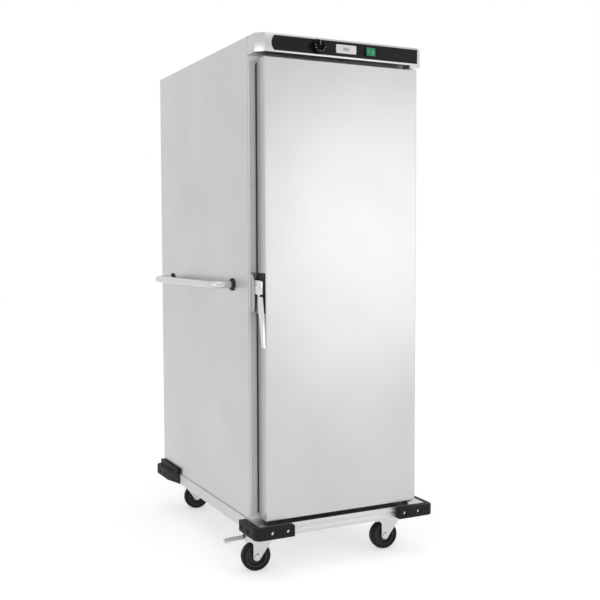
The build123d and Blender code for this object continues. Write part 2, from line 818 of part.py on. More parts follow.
def latch_lever():
    """Pull lever: hub on the cross pin, neck out of the hood, skirted head, leaning blade with a
    curled tip, and behind the pin the hook that lies behind the strike's nose."""
    x0, x1, y0, y1 = latch_box()
    x = (x0 + x1 - lever_width) / 2
    y, z = lever_pin()
    top = z - lever_pin_rise - 7.0
    front = y - 16.0
    tip = z - lever_length
    tip_front = front - lever_lean
    t = lever_sheet
    skirt = top - 51.0
    side = [(x, y - 1.5, z), (x, y - 1.5, top + 2.0), (x, y - 3.0, top), (x, front + 2.0, top), (x, front, top - 3.0),
            (x, tip_front + 3.0, tip + 14.0), (x, tip_front - 1.0, tip), (x, tip_front + t + 1.0, tip + 4.0),
            (x, tip_front + t + 3.0, tip + 14.0), (x, front + t + 8.0, skirt - 6.0), (x, y + lever_skirt - 3.0, skirt),
            (x, y + lever_skirt, skirt + 4.0), (x, y + 5.0, top), (x, y + 4.5, z)]
    lever = prism(side, (1, 0, 0), lever_width)
    lever += rod_x(x, y, z, lever_pin_diameter / 2 + 3.5, lever_width)
    reach = strike_front() + strike_lip + seat
    rise = z + hook_reach + 4.0
    arm = [(x, y, z - 5.0), (x, y, z + 1.0), (x, reach, z + 1.0), (x, reach, rise),
           (x, reach + hook_thickness, rise), (x, reach + hook_thickness, z - 5.0)]
    lever += prism(arm, (1, 0, 0), lever_width)
    lever -= rod_x(x - 1, y, z, lever_pin_diameter / 2 + fit, lever_width + 2)
    return [lever]


def strike_front():
    return frame_plane - strike_depth


def strike():
    """Catch on the frame: long outer cheek with a bowed front, foot on the frame and the nose that
    holds the lever's hook."""
    x0, x1, box_front, box_back = latch_box()
    z = lever_pin()[1]
    front = strike_front()
    back = frame_plane - latch_plate_sheet
    z0, z1 = latch_plate_z()
    cheek = [(x0, back, z0 + 1.5), (x0, front + 7.0, z0 + 1.5), (x0, front + 2.0, z0 + 8.0), (x0, front, z0 + 40.0),
             (x0, front, z1 - 42.0), (x0, front + 4.0, z1 - 22.0), (x0, front + 14.0, z1 - 8.0), (x0, back, z1 - 1.5)]
    piece = prism(cheek, (1, 0, 0), strike_wall)
    foot = back - 6.0
    piece += block(x0, x1, foot, back, z0 + 1.5, z1 - 1.5)
    nose = z + 2.0
    hook = [(x0, front, nose), (x0, front, nose + 9.0), (x0, foot, nose + 16.0), (x0, foot, nose + nose_height),
            (x0, front + strike_lip, nose + nose_height), (x0, front + strike_lip, nose)]
    piece += prism(hook, (1, 0, 0), x1 - x0)
    return [piece]


def strike_backplate():
    x0, x1, box_front, box_back = latch_box()
    z0, z1 = latch_plate_z()
    edge = -(body_x - sheet - rim_width)
    return [block(edge, x1 + 2.0, frame_plane - latch_plate_sheet, frame_plane, z0, z1)]


# Push handles

def push_handle(side):
    wall = side * body_x
    outer = side * (body_x + handle_standoff)
    y0 = handle_centre_y - handle_spacing / 2
    y1 = handle_centre_y + handle_spacing / 2
    z = handle_height
    path = FilletPolyline((wall, y0, z), (outer, y0, z), (outer, y1, z), (wall, y1, z), radius=handle_bend)
    start = Plane(origin=(wall, y0, z), z_dir=(side, 0, 0))
    ring = Circle(handle_tube / 2) - Circle(handle_tube / 2 - handle_wall)
    return [sweep(start * ring, path=path)]


def handle_flanges():
    rings = []
    for side in (-1, 1):
        for sy in (-1, 1):
            y = handle_centre_y + sy * handle_spacing / 2
            x = side * body_x
            start = x if side > 0 else x - flange_thickness
            ring = rod_x(start, y, handle_height, flange_radius, flange_thickness)
            rim = ring.edges().filter_by(GeomType.CIRCLE).sort_by(Axis.X)
            ring = chamfer(rim[-1] if side > 0 else rim[0], 2.0)
            ring -= rod_x(start - 1, y, handle_height, handle_tube / 2 + fit, flange_thickness + 2)
            rings.append(ring)
    return rings


# Racks, air system and water tray

def rack(side):
    """Two uprights with ties, lying flat on the liner."""
    wall = liner_x - liner_sheet
    x0, x1 = sorted((side * wall, side * (wall - rack_strip)))
    z0 = liner_z0 + liner_sheet
    z1 = liner_z1 - liner_sheet - 20.0
    half = rack_strip_width / 2
    frame = block(x0, x1, rack_front - half, rack_front + half, z0, z1)
    frame += block(x0, x1, rack_back - half, rack_back + half, z0, z1)
    middle = (z0 + z1) / 2
    for z in (z0 + 20.0, middle - 10.0, z1 - 20.0):
        frame += block(x0, x1, rack_front, rack_back, z, z + 20.0)
    return [frame]


def runner_levels():
    return [deck_top + runner_first + n * runner_pitch for n in range(runner_count)]


def pan_runners(side):
    wall = liner_x - liner_sheet - rack_strip
    y0 = rack_front - runner_overhang
    y1 = rack_back + runner_overhang
    runners = []
    for z in runner_levels():
        section = [(wall, y0, z - runner_sheet), (wall, y0, z + runner_height), (wall - runner_sheet, y0, z + runner_height),
                   (wall - runner_sheet, y0, z), (wall - runner_leg, y0, z), (wall - runner_leg, y0, z - runner_sheet)]
        section = [(side * x, y, zz) for x, y, zz in section]
        runner = prism(section, (0, 1, 0), y1 - y0)
        stop0, stop1 = sorted((side * (wall - runner_leg), side * (wall - runner_sheet)))
        runner += block(stop0, stop1, y1 - runner_sheet, y1, z, z + 12.0)
        runners.append(runner)
    return runners


def air_baffle():
    """Folded cover over the air duct: suction grille before the fan, outlet louvres up both sides."""
    x = liner_x - liner_sheet - baffle_side_gap
    z0 = liner_z0 + liner_sheet + baffle_end_gap
    z1 = liner_z1 - liner_sheet - baffle_end_gap
    wall_y = liner_back - liner_sheet
    t = baffle_sheet
    cover = block(-x, x, baffle_y, wall_y, z0, z1)
    cover -= block(-x + t, x - t, baffle_y + t, wall_y, z0, z1)
    slots = 7
    pitch = 2 * (fan_radius - 18.0) / (slots - 1)
    for n in range(slots):
        dz = -(fan_radius - 18.0) + n * pitch
        half = math.sqrt(fan_radius ** 2 - dz ** 2) - 10.0
        cover -= block(-half, half, baffle_y - 1, baffle_y + 2 * t, fan_z + dz - 4, fan_z + dz + 4)
    for level in range(runner_count):
        z = z0 + 60.0 + level * runner_pitch
        for sx in (-1, 1):
            cover -= block(min(sx * (x - 30), sx * (x - 90)), max(sx * (x - 30), sx * (x - 90)),
                           baffle_y - 1, baffle_y + 2 * t, z, z + 6)
    return [cover]


def fan_motor():
    wall_y = liner_back - liner_sheet
    motor = rod_y(0, wall_y - motor_length, fan_z, motor_radius, motor_length)
    rim = motor.edges().filter_by(GeomType.CIRCLE).sort_by(Axis.Y)
    motor = chamfer(rim[0], 4.0)
    reach = motor_length + fan_width + 6.0
    motor += rod_y(0, wall_y - reach, fan_z, fan_shaft_diameter / 2, reach)
    return [motor]


def fan_impeller():
    """Radial wheel: back disc, hub, swept blades and a front shroud ring."""
    back = liner_back - liner_sheet - motor_length - 4.0
    front = back - fan_width
    wheel_disc = rod_y(0, back - 2.0, fan_z, fan_radius, 2.0)
    wheel_disc += rod_y(0, front + 12.0, fan_z, 11.0, fan_width - 12.0)
    shroud = rod_y(0, front, fan_z, fan_radius, 2.0) - rod_y(0, front - 1, fan_z, fan_radius - 26.0, 4.0)
    impeller = wheel_disc + shroud
    inner = fan_radius - 40.0
    for n in range(blade_count):
        blade = block(inner, fan_radius - 1.0, front + 1.0, back - 1.0, 0, blade_sheet)
        lean = Pos(fan_radius - 20.0, 0, 0) * Rot(0, -28, 0) * Pos(-(fan_radius - 20.0), 0, 0)
        blade = Pos(0, 0, fan_z) * Rot(0, 360.0 * n / blade_count, 0) * lean * blade
        impeller += blade
    impeller -= rod_y(0, front, fan_z, fan_shaft_diameter / 2 + fit, fan_width + 1)
    return [impeller]


def heating_element():
    """Ring of sheathed rod round the fan, its two ends bent back to the wall."""
    wall_y = liner_back - liner_sheet
    ring_y = wall_y - motor_length - 4.0 - fan_width / 2
    open_angle = 14.0
    section = Plane(origin=(0, ring_y, fan_z - element_radius), z_dir=(1, 0, 0)) * Circle(element_rod)
    about_fan = Axis((0, ring_y, fan_z), (0, 1, 0))
    ring = revolve(section, about_fan, 360 - open_angle)
    ring = ring.rotate(about_fan, -open_angle / 2)
    angle = math.radians(open_angle / 2)
    for side in (-1, 1):
        x = side * element_radius * math.sin(angle)
        z = fan_z - element_radius * math.cos(angle)
        ring += rod_y(x, ring_y - element_rod - 1.0, z, element_rod + 1.0, wall_y - ring_y + element_rod + 1.0)
    return [ring]


def water_pan():
    z0 = liner_z0 + liner_sheet
    x = tray_width / 2
    y0 = rack_front + 60.0
    y1 = y0 + tray_depth
    t = tray_sheet
    tray = block(-x, x, y0, y1, z0, z0 + tray_height)
    tray = fillet(tray.edges().filter_by(Axis.Z), 18.0)
    cut = block(-x + t, x - t, y0 + t, y1 - t, z0 + t, z0 + tray_height)
    tray -= fillet(cut.edges().filter_by(Axis.Z), 17.0)
    r = tray_rim
    rim = block(-x - r, x + r, y0 - r, y1 + r, z0 + tray_height - t, z0 + tray_height)
    rim = fillet(rim.edges().filter_by(Axis.Z), 18.0 + r)
    hole = block(-x + t, x - t, y0 + t, y1 - t, z0 + tray_height - t, z0 + tray_height)
    tray += rim - fillet(hole.edges().filter_by(Axis.Z), 17.0)
    return [tray]


def save(name, pieces):
    solids = [solid for piece in pieces for solid in piece.solids()]
    export_step(Compound(solids) if len(solids) > 1 else solids[0], f"parts/{name}.step")


def main():
    os.makedirs("parts", exist_ok=True)
    plain = (base_frame, floor_panel, corner_bumpers, bumper_bolts, caster_plates, face_frame, roof_panel,
             back_panel, power_inlet, cavity_liner, insulation, head_housing, control_panel, thermostat_body,
             thermostat_knob, temperature_display, switch_housing, switch_rocker, door_skin, door_liner,
             door_insulation, door_gasket, hinge_brackets, latch_backplate, latch_housing, latch_lever, strike,
             strike_backplate, handle_flanges, air_baffle, fan_motor, fan_impeller, heating_element, water_pan)
    for build in plain:
        save(build.__name__, build())
    for word, side in (("left", -1), ("right", 1)):
        save(f"side_panel_{word}", side_panel(side))
        save(f"push_handle_{word}", push_handle(side))
        save(f"rack_{word}", rack(side))
        save(f"pan_runners_{word}", pan_runners(side))
    turns = (front_caster_turn, front_caster_turn, rear_left_turn, rear_right_turn)
    names = ("front_left", "front_right", "rear_left", "rear_right")
    for name, turn, (x, y) in zip(names, turns, caster_places()):
        for piece_name, piece in (("fork", fork()), ("axle", axle()), ("wheel", wheel()), ("tyre", tyre())):
            save(f"{piece_name}_{name}", [caster(turn, x, y, piece)])
        if name.startswith("front"):
            save(f"brake_pedal_{name}", [caster(turn, x, y, brake_pedal())])


main()
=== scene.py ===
import json
import math
import bmesh
import bpy
from mathutils import Matrix, Vector
from mathutils.bvhtree import BVHTree


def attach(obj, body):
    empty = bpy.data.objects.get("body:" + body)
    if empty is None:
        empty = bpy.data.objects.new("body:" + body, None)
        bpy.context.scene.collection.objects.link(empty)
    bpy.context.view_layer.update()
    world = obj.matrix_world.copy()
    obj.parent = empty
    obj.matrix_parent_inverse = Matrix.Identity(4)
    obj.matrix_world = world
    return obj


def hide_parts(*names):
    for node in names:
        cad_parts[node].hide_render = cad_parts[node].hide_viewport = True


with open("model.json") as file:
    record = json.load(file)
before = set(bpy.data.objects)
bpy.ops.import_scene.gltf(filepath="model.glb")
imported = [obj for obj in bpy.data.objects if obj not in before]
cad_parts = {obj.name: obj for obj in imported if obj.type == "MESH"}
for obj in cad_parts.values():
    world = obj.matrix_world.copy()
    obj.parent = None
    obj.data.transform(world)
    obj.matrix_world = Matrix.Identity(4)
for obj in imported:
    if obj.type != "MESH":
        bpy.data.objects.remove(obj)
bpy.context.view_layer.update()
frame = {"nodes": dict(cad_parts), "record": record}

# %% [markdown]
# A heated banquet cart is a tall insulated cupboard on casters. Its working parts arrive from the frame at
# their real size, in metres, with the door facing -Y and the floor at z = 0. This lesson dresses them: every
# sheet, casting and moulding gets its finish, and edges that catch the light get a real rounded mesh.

nodes = frame["nodes"]
MM = 0.001

# %% [markdown]
# The camera repeats the photograph's viewpoint: eye height 1.1 m, front left of the cart, about 3.5 m away.
# It could be aimed with a Track To constraint, but that gives no roll. Its axes are built here from the turn,
# tilt and roll, because a matrix of three directions leaves no doubt about the order of rotations.

# %% Camera
CAMERA_PLACE = Vector((-1.51788, -3.17829, 1.09638))
CAMERA_TURN = math.radians(26.645)
CAMERA_TILT = math.radians(3.551)
CAMERA_ROLL = math.radians(-0.165)
FRAME_PX = 600
FOCAL_PX = 923.754
SENSOR_MM = 36.0


def camera_axes(turn, tilt, roll):
    ahead = Vector((math.sin(turn) * math.cos(tilt), math.cos(turn) * math.cos(tilt), -math.sin(tilt)))
    level = Vector((math.cos(turn), -math.sin(turn), 0.0))
    above = level.cross(ahead)
    right = math.cos(roll) * level + math.sin(roll) * above
    return right, right.cross(ahead), -ahead


def make_camera():
    data = bpy.data.cameras.new("photo_camera")
    data.sensor_width = SENSOR_MM
    data.lens = FOCAL_PX * SENSOR_MM / FRAME_PX
    data.clip_end = 60.0
    camera = bpy.data.objects.new("photo_camera", data)
    bpy.context.scene.collection.objects.link(camera)
    turned = Matrix(camera_axes(CAMERA_TURN, CAMERA_TILT, CAMERA_ROLL)).transposed().to_4x4()
    camera.matrix_world = Matrix.Translation(CAMERA_PLACE) @ turned
    bpy.context.scene.camera = camera


make_camera()
bpy.context.scene.view_settings.view_transform = "Standard"
print("camera at", tuple(round(v, 2) for v in CAMERA_PLACE))

# %% [markdown]
# Stainless sheet is mostly a picture of the room, so the room decides how it looks. An even white world would
# do for the sheet, but it leaves the black rubber and plastic flat. So the camera, the metal and the glass all
# see a plain white studio, while matt surfaces are lit by a soft gradient: bright in front, a step greyer
# behind and overhead.

# %% Studio world
WORLD_FRONT = 0.82
WORLD_BACK = 0.62
WORLD_TOP = 0.85
BRIGHT_SIDE = (0.45, -0.89, 0.0)
TOP_STARTS, TOP_FULL = 0.05, 0.75
WHITE = (1, 1, 1, 1)


def node(tree, kind, place=(0, 0), **inputs):
    made = tree.nodes.new(kind)
    made.location = place
    for name, value in inputs.items():
        made.inputs[name.replace("_", " ")].default_value = value
    return made


def make_world():
    world = bpy.data.worlds.new("studio")
    bpy.context.scene.world = world
    world.use_nodes = True
    tree = world.node_tree
    tree.nodes.clear()
    link = tree.links.new
    where = node(tree, "ShaderNodeTexCoord")
    split = node(tree, "ShaderNodeSeparateXYZ")
    link(where.outputs["Generated"], split.inputs[0])
    across = node(tree, "ShaderNodeVectorMath")
    across.operation = "DOT_PRODUCT"
    across.inputs[1].default_value = BRIGHT_SIDE
    link(where.outputs["Generated"], across.inputs[0])
    facing = node(tree, "ShaderNodeMapRange")
    facing.inputs["From Min"].default_value = -1.0
    facing.inputs["To Min"].default_value = WORLD_BACK
    facing.inputs["To Max"].default_value = WORLD_FRONT
    link(across.outputs["Value"], facing.inputs["Value"])
    upward = node(tree, "ShaderNodeMapRange")
    upward.inputs["From Min"].default_value = TOP_STARTS
    upward.inputs["From Max"].default_value = TOP_FULL
    upward.inputs["To Min"].default_value = 1.0
    upward.inputs["To Max"].default_value = WORLD_TOP
    link(split.outputs["Z"], upward.inputs["Value"])
    level = node(tree, "ShaderNodeMath")
    level.operation = "MULTIPLY"
    link(facing.outputs[0], level.inputs[0])
    link(upward.outputs[0], level.inputs[1])
    room = node(tree, "ShaderNodeBackground")
    room.inputs["Color"].default_value = WHITE
    link(level.outputs[0], room.inputs["Strength"])
    white = node(tree, "ShaderNodeBackground")
    white.inputs["Color"].default_value = WHITE
    white.inputs["Strength"].default_value = 1.0
    seen = node(tree, "ShaderNodeLightPath")
    straight = node(tree, "ShaderNodeMath")
    straight.operation = "MAXIMUM"
    link(seen.outputs["Is Camera Ray"], straight.inputs[0])
    link(seen.outputs["Is Transmission Ray"], straight.inputs[1])
    mirrored = node(tree, "ShaderNodeMath")
    mirrored.operation = "MAXIMUM"
    link(straight.outputs[0], mirrored.inputs[0])
    link(seen.outputs["Is Glossy Ray"], mirrored.inputs[1])
    choose = node(tree, "ShaderNodeMixShader")
    link(mirrored.outputs[0], choose.inputs[0])
    link(room.outputs[0], choose.inputs[1])
    link(white.outputs[0], choose.inputs[2])
    out = node(tree, "ShaderNodeOutputWorld")
    link(choose.outputs[0], out.inputs["Surface"])


make_world()
print("world made")

# %% [markdown]
# Three large soft lamps give the gentle falls of light on the sheet: one low in front on the right, which
# brightens the middle of the door, a fill from the front left for the side sheets, and a wide one overhead.
# Point lamps would do it with less room, but a satin sheet would show each as a hard spot.

# %% Lamps
LAMPS = {
    "front": ((1.75, -3.3, 1.15), (0.0, -0.4, 0.95), 1.9, 8.0),
    "left_fill": ((-2.95, -1.6, 1.25), (-0.35, -0.4, 0.9), 1.3, 7.0),
    "top": ((-0.4, -0.8, 4.2), (0.0, 0.0, 0.8), 3.0, 12.0),
}


def make_lamp(name, place, target, size, watts):
    data = bpy.data.lights.new(name, "AREA")
    data.shape = "DISK"
    data.size = size
    data.energy = watts
    lamp = bpy.data.objects.new(name, data)
    bpy.context.scene.collection.objects.link(lamp)
    aim = (Vector(target) - Vector(place)).to_track_quat("-Z", "Y")
    lamp.matrix_world = Matrix.Translation(Vector(place)) @ aim.to_matrix().to_4x4()


for lamp_name, facts in LAMPS.items():
    make_lamp(lamp_name, *facts)
print("lamps", len(LAMPS))

# %% [markdown]
# The floor is one large square, pale enough to vanish into the white background. Its paint takes the cart's
# soft shadow. A faint glow that only the camera and reflections see lifts it to white, so that no extra light
# falls on the cart.

# %% Floor
FLOOR_GREY = (0.86, 0.86, 0.86, 1)
FLOOR_LIFT = 0.46
FLOOR_HALF = 14.0

def floor_material():
    mat = bpy.data.materials.new("studio_floor")
    mat.use_nodes = True
    tree = mat.node_tree
    tree.nodes.clear()
    link = tree.links.new
    paint = node(tree, "ShaderNodeBsdfDiffuse")
    paint.inputs["Color"].default_value = FLOOR_GREY
    lift = node(tree, "ShaderNodeEmission")
    lift.inputs["Color"].default_value = WHITE
    lift.inputs["Strength"].default_value = FLOOR_LIFT
    seen = node(tree, "ShaderNodeLightPath")
    only = node(tree, "ShaderNodeMixShader")
    none = node(tree, "ShaderNodeEmission")
    none.inputs["Strength"].default_value = 0.0
    both_ways = node(tree, "ShaderNodeMath")
    both_ways.operation = "MAXIMUM"
    link(seen.outputs["Is Camera Ray"], both_ways.inputs[0])
    link(seen.outputs["Is Glossy Ray"], both_ways.inputs[1])
    link(both_ways.outputs[0], only.inputs[0])
    link(none.outputs[0], only.inputs[1])
    link(lift.outputs[0], only.inputs[2])
    both = node(tree, "ShaderNodeAddShader")
    link(paint.outputs[0], both.inputs[0])
    link(only.outputs[0], both.inputs[1])
    out = node(tree, "ShaderNodeOutputMaterial")
    link(both.outputs[0], out.inputs["Surface"])
    return mat


def make_floor(half=FLOOR_HALF):
    mesh = bpy.data.meshes.new("studio_floor")
    corners = [(-half, -half, 0), (half, -half, 0), (half, half, 0), (-half, half, 0)]
    mesh.from_pydata(corners, [], [(0, 1, 2, 3)])
    mesh.materials.append(floor_material())
    floor = bpy.data.objects.new("studio_floor", mesh)
    bpy.context.scene.collection.objects.link(floor)


make_floor()
print("floor", 2 * FLOOR_HALF, "m across")

# %% [markdown]
# Real finishes are never quite even: satin sheet has a fine grain, rubber a dull skin and zinc small clouds.
# Pictures of each could be wrapped on, but every sheet would need its own layout. Here one recipe serves all:
# a Principled shader whose roughness and bump come from noise on Object coordinates. Stretching the noise
# along one axis turns it into grain; leaving it even gives the skin of a moulding.

# %% Finish recipe
CLOUD_SCALE = 3.0
CLOUD_LOW, CLOUD_HIGH = 0.3, 0.7
DENT_DEPTH = 0.0005


def finish(name, color, metallic=0.0, roughness=0.4, spread=0.08, bump=0.02, grain=(300, 300, 300),
           detail=3.0, tint=0.04, **sockets):
    mat = bpy.data.materials.new(name)
    mat.use_nodes = True
    tree = mat.node_tree
    link = tree.links.new
    shader = tree.nodes["Principled BSDF"]
    shader.inputs["Metallic"].default_value = metallic
    for socket, value in sockets.items():
        shader.inputs[socket.replace("_", " ")].default_value = value
    where = node(tree, "ShaderNodeTexCoord")
    stretch = node(tree, "ShaderNodeMapping")
    stretch.inputs["Scale"].default_value = grain
    link(where.outputs["Object"], stretch.inputs["Vector"])
    noise = node(tree, "ShaderNodeTexNoise", Scale=1.0, Detail=detail, Roughness=0.6)
    link(stretch.outputs[0], noise.inputs["Vector"])
    rough = node(tree, "ShaderNodeMapRange")
    rough.inputs["To Min"].default_value = roughness - spread
    rough.inputs["To Max"].default_value = roughness + spread
    link(noise.outputs["Fac"], rough.inputs["Value"])
    link(rough.outputs[0], shader.inputs["Roughness"])
    cloud = node(tree, "ShaderNodeTexNoise", Scale=CLOUD_SCALE, Detail=2.0)
    link(where.outputs["Object"], cloud.inputs["Vector"])
    ramp = node(tree, "ShaderNodeValToRGB")
    low = [max(c * (1 - tint), 0.0) for c in color]
    high = [min(c * (1 + tint), 1.0) for c in color]
    ramp.color_ramp.elements[0].position = CLOUD_LOW
    ramp.color_ramp.elements[0].color = (*low, 1)
    ramp.color_ramp.elements[1].position = CLOUD_HIGH
    ramp.color_ramp.elements[1].color = (*high, 1)
    link(cloud.outputs["Fac"], ramp.inputs["Fac"])
    link(ramp.outputs["Color"], shader.inputs["Base Color"])
    if bump:
        dent = node(tree, "ShaderNodeBump", Strength=bump, Distance=DENT_DEPTH)
        link(noise.outputs["Fac"], dent.inputs["Height"])
        link(dent.outputs[0], shader.inputs["Normal"])
    return mat


# %% [markdown]
# The table holds one row for each finish of the cart, in the order in which one meets them: sheet, rubber,
# zinc, controls, latch, handle, fan, casters, and last the small marks and screws. One row, the face frame's
# near-white matt copy of steel, is painted light. A table is chosen over a cell for each, because neighbours
# can then be compared at a glance.

# %% Finish table
UPRIGHT_GRAIN = (900, 900, 12)
LEVEL_GRAIN = (12, 900, 900)
DEPTH_GRAIN = (900, 12, 900)


def even(scale):
    return (scale, scale, scale)


# name: colour, metallic, roughness, its spread, bump, grain
FINISH_TABLE = {
    "satin_stainless": ((0.555, 0.555, 0.558), 1.0, 0.30, 0.04, 0.04, UPRIGHT_GRAIN, {}),
    "frame_steel": ((0.61, 0.615, 0.62), 1.0, 0.42, 0.05, 0.05, LEVEL_GRAIN, {}),
    "liner_steel": ((0.66, 0.66, 0.67), 1.0, 0.30, 0.06, 0.05, DEPTH_GRAIN, {}),
    "bumper_rubber": ((0.010, 0.010, 0.011), 0.0, 0.60, 0.08, 0.15, even(420), {"Specular_IOR_Level": 0.22}),
    "zinc_plate": ((0.66, 0.67, 0.68), 1.0, 0.32, 0.10, 0.08, even(160), {}),
    "black_panel": ((0.010, 0.010, 0.011), 0.0, 0.34, 0.04, 0.02, even(500), {"Specular_IOR_Level": 0.16}),
    "foam": ((0.85, 0.80, 0.62), 0.0, 0.9, 0.05, 0.5, even(220), {"tint": 0.1}),
    "gasket_rubber": ((0.030, 0.030, 0.032), 0.0, 0.62, 0.08, 0.10, even(380), {}),
    "knob_plastic": ((0.003, 0.003, 0.0035), 0.0, 0.50, 0.06, 0.04, even(400), {"Specular_IOR_Level": 0.06}),
    "display_silver": ((0.82, 0.83, 0.83), 0.0, 0.34, 0.05, 0.03, even(300), {}),
    "rocker_green": ((0.006, 0.25, 0.095), 0.0, 0.25, 0.04, 0.02, even(300), {}),
    "inlet_plastic": ((0.020, 0.020, 0.021), 0.0, 0.45, 0.08, 0.05, even(300), {}),
    "latch_chrome": ((0.66, 0.66, 0.67), 1.0, 0.16, 0.04, 0.02, even(90), {}),
    "strike_grey": ((0.50, 0.50, 0.505), 0.7, 0.40, 0.06, 0.05, even(200), {}),
    "plate_black": ((0.010, 0.010, 0.011), 0.0, 0.48, 0.08, 0.08, even(300), {"Specular_IOR_Level": 0.25}),
    "handle_steel": ((0.58, 0.59, 0.60), 1.0, 0.24, 0.05, 0.03, DEPTH_GRAIN, {}),
    "motor_paint": ((0.05, 0.05, 0.055), 0.2, 0.45, 0.08, 0.08, even(200), {}),
    "impeller_alloy": ((0.72, 0.73, 0.74), 1.0, 0.35, 0.08, 0.05, even(200), {}),
    "element_sheath": ((0.30, 0.26, 0.23), 1.0, 0.38, 0.10, 0.06, even(120), {"tint": 0.25}),
    "caster_zinc": ((0.60, 0.61, 0.605), 1.0, 0.24, 0.10, 0.08, even(140), {}),
    "wheel_plastic": ((0.014, 0.014, 0.014), 0.0, 0.38, 0.06, 0.05, even(300), {"Specular_IOR_Level": 0.35}),
    "tyre_rubber": ((0.008, 0.008, 0.008), 0.0, 0.58, 0.08, 0.15, even(350), {"Specular_IOR_Level": 0.22}),
    "pedal_steel": ((0.50, 0.52, 0.51), 1.0, 0.28, 0.08, 0.06, even(150), {}),
    # Painted light: the face frame is steel, but this near-white matt copy renders it light where the door's
    # shade and dark reflections fall.
    "frame_painted_light": ((0.95, 0.95, 0.955), 0.0, 0.42, 0.05, 0.04, UPRIGHT_GRAIN, {}),
    "pale_mark": ((0.72, 0.72, 0.70), 0.0, 0.5, 0.04, 0.0, even(300), {}),
    "dial_line": ((0.30, 0.30, 0.30), 0.0, 0.5, 0.04, 0.0, even(300), {}),
    "screen_glass": ((0.60, 0.62, 0.60), 0.0, 0.16, 0.03, 0.0, even(300), {}),
    "screen_figure": ((0.16, 0.17, 0.17), 0.0, 0.4, 0.03, 0.0, even(300), {}),
    "lit_mark": ((0.25, 0.80, 0.42), 0.0, 0.3, 0.03, 0.0, even(300), {}),
    "screw_steel": ((0.52, 0.53, 0.53), 1.0, 0.28, 0.06, 0.04, even(240), {}),
    "screw_dark": ((0.10, 0.10, 0.105), 0.8, 0.38, 0.06, 0.04, even(240), {}),
}
finishes = {}
for label, (*facts, extra) in FINISH_TABLE.items():
    finishes[label] = finish(label, *facts, **extra)
print("finishes", len(finishes))

# %% [markdown]
# A real sheet or moulding never ends in a knife edge: the small round catches a line of light. A bevel shader
# could fake that, but the mesh itself would stay sharp. So each CAD piece whose edges show is copied, its
# loose triangles are joined, flat areas are cleaned to whole faces, and a Bevel modifier rounds what is sharp.
# The copy replaces the node and rides on the same body.

# %% Rounded copies
slot_of = {row["node"]: row["material_slot"] for row in frame["record"]["subparts"]}
body_of = {n: body for body, members in frame["record"]["behaviour"]["bodies"].items() for n in members}
MERGE_GAP = 1e-6
FLAT_ANGLE = math.radians(0.6)
SHARP_ANGLE = math.radians(34)


def merged_copy(name):
    made = bmesh.new()
    made.from_mesh(nodes[name].data)
    bmesh.ops.remove_doubles(made, verts=made.verts, dist=MERGE_GAP)
    bmesh.ops.dissolve_limit(made, angle_limit=FLAT_ANGLE, verts=made.verts, edges=made.edges)
    mesh = bpy.data.meshes.new(name + "_rounded")
    made.to_mesh(mesh)
    made.free()
    return mesh


# The face frame's rounded copy gets the near-white matt copy of its steel instead of its own slot: painted
# light that brightens the frame in the door's shade.
PAINTED_LIGHT_FINISH = {"face_frame": "frame_painted_light"}


def rounded(name, width, segments=2):
    mesh = merged_copy(name)
    piece = bpy.data.objects.new(name + "_rounded", mesh)
    bpy.context.scene.collection.objects.link(piece)
    mesh.materials.clear()
    mesh.materials.append(finishes[PAINTED_LIGHT_FINISH.get(name, slot_of[name])])
    bevel = piece.modifiers.new("edge_round", "BEVEL")
    bevel.width = width * MM
    bevel.segments = segments
    bevel.limit_method = "ANGLE"
    bevel.angle_limit = SHARP_ANGLE
    bevel.use_clamp_overlap = True
    bevel.harden_normals = False
    bpy.context.view_layer.update()
    graph = bpy.context.evaluated_depsgraph_get()
    done = bpy.data.meshes.new_from_object(piece.evaluated_get(graph))
    piece.modifiers.clear()
    piece.data = done
    done.name = name + "_rounded"
    for face in done.polygons:
        face.use_smooth = True
    done.set_sharp_from_angle(angle=SHARP_ANGLE)
    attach(piece, body_of[name])
    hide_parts(name)
    return piece


ROUND_MM = {
    "corner_bumpers": 3.0, "latch_housing": 1.2, "latch_lever": 1.4, "strike": 1.2, "control_panel": 0.5,
    "temperature_display": 0.8, "switch_housing": 0.8, "switch_rocker": 0.7, "base_frame": 0.8,
    "head_housing": 0.6, "face_frame": 0.5, "brake_pedal_front_left": 0.7, "brake_pedal_front_right": 0.7,
    "power_inlet": 0.6, "strike_backplate": 0.6, "latch_backplate": 0.6,
}
for corner in ("front_left", "front_right", "rear_left", "rear_right"):
    ROUND_MM["fork_" + corner] = 0.8
for name, width in ROUND_MM.items():
    rounded(name, width)
print("rounded pieces", len(ROUND_MM))

# %% [markdown]
# Small fasteners and marks come in sets: the same head at several places. Copying a head by hand would do for
# two, but not for thirty that follow a sheet's size. One Geometry Nodes tree makes them.
# It takes a mesh of bare points, puts a head on each, turned to face the way the surface looks, makes the
# copies real and gives them their finish. A flat head is a low cylinder, six-sided for a bolt; a domed head is
# a squashed ball whose lower half is sunk in the sheet.

# %% Heads on points
BALL_SEGMENTS, BALL_RINGS = 20, 10


def add_socket(tree, name, kind, default=None):
    socket = tree.interface.new_socket(name=name, in_out="INPUT", socket_type=kind)
    if default is not None:
        socket.default_value = default
    return socket.identifier


